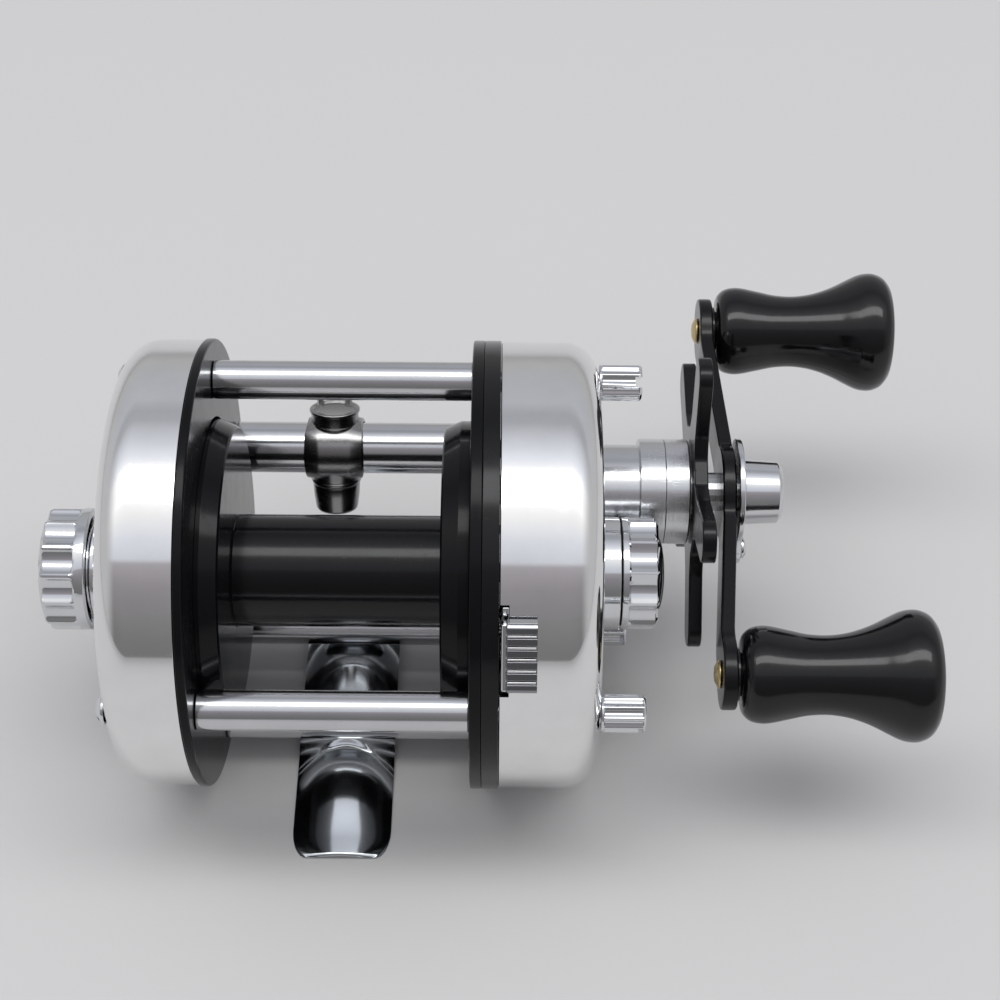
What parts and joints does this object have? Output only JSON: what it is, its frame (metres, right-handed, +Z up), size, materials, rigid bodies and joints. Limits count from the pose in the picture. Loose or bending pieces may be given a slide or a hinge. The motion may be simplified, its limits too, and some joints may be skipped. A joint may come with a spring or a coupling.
{
  "type": "trolling reel",
  "caption": "Round two-plate fishing reel with a level-wind line guide, star drag, double-knob handle, thumb button and saddle foot.",
  "frame": {"origin": "middle of the reel's bounding box in plan, at the level of the flat lands under the foot", "axes": "+X along the spool axis towards the handle, +Y forward from the angler to the line guide, +Z up from the rod"},
  "size_m": [0.1304, 0.0908, 0.0674],
  "materials": {
    "polished_aluminium": "polished, with fine handling scratches",
    "machined_aluminium": "turned, satin",
    "chrome": "bright plated",
    "black_anodised": "black anodised, satin to gloss",
    "black_paint": "satin black",
    "black_plastic": "moulded, glossy",
    "brass": "machined",
    "steel": "machined",
    "fibre": "pressed fibre washer",
    "rubber": "matte"
  },
  "bodies": {
    "frame": {"left_side_plate": "polished_aluminium", "right_side_plate": "polished_aluminium", "left_frame_ring": "black_anodised", "right_frame_ring": "black_anodised", "gear_side_plate": "black_anodised", "top_pillar": "chrome", "rear_pillar": "chrome", "lower_front_pillar": "chrome", "lower_rear_pillar": "chrome", "reel_foot": "chrome", "left_screw_top": "chrome", "left_screw_rear": "chrome", "left_bearing_housing": "chrome", "left_spool_bearing": "steel", "cast_control_housing": "chrome", "right_spool_bearing": "steel", "dog_post": "steel", "yoke_post_upper": "steel", "yoke_post_lower": "steel", "level_wind_tube": "chrome", "worm_bush_left": "brass", "worm_bush_right": "brass", "handle_bearing_housing": "machined_aluminium"},
    "handle": {"drive_shaft": "steel", "main_gear": "brass", "level_wind_drive_gear": "brass", "ratchet": "steel", "fibre_drag_washer": "fibre", "steel_drag_washer": "steel", "handle_arm": "black_paint", "nut_lock_plate": "chrome", "lock_plate_screw": "chrome", "handle_nut": "chrome", "knob_spindle_front": "brass", "knob_spindle_rear": "brass"},
    "star_drag": {"star_hub": "machined_aluminium", "star_drag_wheel": "black_paint"},
    "front_knob": {"knob_front": "black_plastic"},
    "rear_knob": {"knob_rear": "black_plastic"},
    "spool": {"spool": "black_anodised", "spool_shaft": "steel"},
    "pinion": {"pinion": "brass"},
    "worm": {"level_wind_worm": "steel", "worm_gear": "black_plastic"},
    "line_guide": {"line_guide": "chrome", "pawl_cap": "chrome", "line_guide_eye": "steel"},
    "guide_pawl": {"guide_pawl": "brass"},
    "thumb_button": {"thumb_button": "chrome", "clutch_slide": "steel"},
    "yoke": {"yoke": "steel"},
    "anti_reverse_dog": {"anti_reverse_dog": "steel"},
    "left_cap": {"left_cap": "chrome"},
    "cast_control": {"cast_control_cap": "chrome", "cast_control_o_ring": "rubber", "cast_cap_insert": "black_plastic"},
    "thumbscrew_top": {"thumbscrew_top": "chrome"},
    "thumbscrew_rear": {"thumbscrew_rear": "chrome"},
    "thumbscrew_lower": {"thumbscrew_lower": "chrome"}
  },
  "joints": [
    {"name": "handle_spin", "type": "hinge", "parent": "frame", "child": "handle", "pos_m": [0, 0.00343, 0.0342], "axis": [1, 0, 0], "continuous": true},
    {"name": "spool_spin", "type": "hinge", "parent": "frame", "child": "spool", "pos_m": [0, -0.01337, 0.0342], "axis": [1, 0, 0], "continuous": true},
    {"name": "worm_spin", "type": "hinge", "parent": "frame", "child": "worm", "pos_m": [0, 0.01473, 0.0317], "axis": [1, 0, 0], "continuous": true},
    {"name": "star_turn", "type": "hinge", "parent": "handle", "child": "star_drag", "pos_m": [0, 0.00343, 0.0342], "axis": [1, 0, 0], "range_deg": [-180, 180]},
    {"name": "front_knob_spin", "type": "hinge", "parent": "handle", "child": "front_knob", "pos_m": [0, 0.03576, 0.0384], "axis": [1, 0, 0], "continuous": true},
    {"name": "rear_knob_spin", "type": "hinge", "parent": "handle", "child": "rear_knob", "pos_m": [0, -0.0289, 0.03], "axis": [1, 0, 0], "continuous": true},
    {"name": "button_travel", "type": "slide", "parent": "frame", "child": "thumb_button", "axis": [0, -0.4695, -0.8829], "range_m": [0, 0.004], "stiffness_N_per_m": 60},
    {"name": "yoke_travel", "type": "slide", "parent": "frame", "child": "yoke", "axis": [1, 0, 0], "range_m": [0, 0.0016]},
    {"name": "pinion_travel", "type": "slide", "parent": "spool", "child": "pinion", "axis": [1, 0, 0], "range_m": [0, 0.0016]},
    {"name": "line_guide_travel", "type": "slide", "parent": "frame", "child": "line_guide", "axis": [1, 0, 0], "range_m": [-0.0074, 0.0126]},
    {"name": "pawl_swivel", "type": "hinge", "parent": "line_guide", "child": "guide_pawl", "pos_m": [-0.0246, 0.01473, 0.0317], "axis": [0, 0.4067, 0.9135], "range_deg": [-25, 25]},
    {"name": "dog_swing", "type": "hinge", "parent": "frame", "child": "anti_reverse_dog", "pos_m": [0, -0.00527, 0.0257], "axis": [1, 0, 0], "range_deg": [-10, 10]},
    {"name": "left_cap_turn", "type": "hinge", "parent": "frame", "child": "left_cap", "pos_m": [0, -0.01337, 0.0342], "axis": [1, 0, 0], "range_deg": [-180, 180]},
    {"name": "cast_control_turn", "type": "hinge", "parent": "frame", "child": "cast_control", "pos_m": [0, -0.01337, 0.0342], "axis": [1, 0, 0], "range_deg": [-180, 180]},
    {"name": "thumbscrew_top_turn", "type": "hinge", "parent": "frame", "child": "thumbscrew_top", "pos_m": [0, 0.00433, 0.0563], "axis": [1, 0, 0], "range_deg": [-180, 180]},
    {"name": "thumbscrew_rear_turn", "type": "hinge", "parent": "frame", "child": "thumbscrew_rear", "pos_m": [0, -0.03917, 0.0341], "axis": [1, 0, 0], "range_deg": [-180, 180]},
    {"name": "thumbscrew_lower_turn", "type": "hinge", "parent": "frame", "child": "thumbscrew_lower", "pos_m": [0, -0.00237, 0.0076], "axis": [1, 0, 0], "range_deg": [-180, 180]}
  ],
  "couplings": [
    {"joint": "spool_spin", "follows": "handle_spin", "ratio": -4.2},
    {"joint": "worm_spin", "follows": "handle_spin", "ratio": -1.8667},
    {"joint": "yoke_travel", "follows": "button_travel", "ratio": 0.4},
    {"joint": "pinion_travel", "follows": "button_travel", "ratio": 0.4}
  ]
}
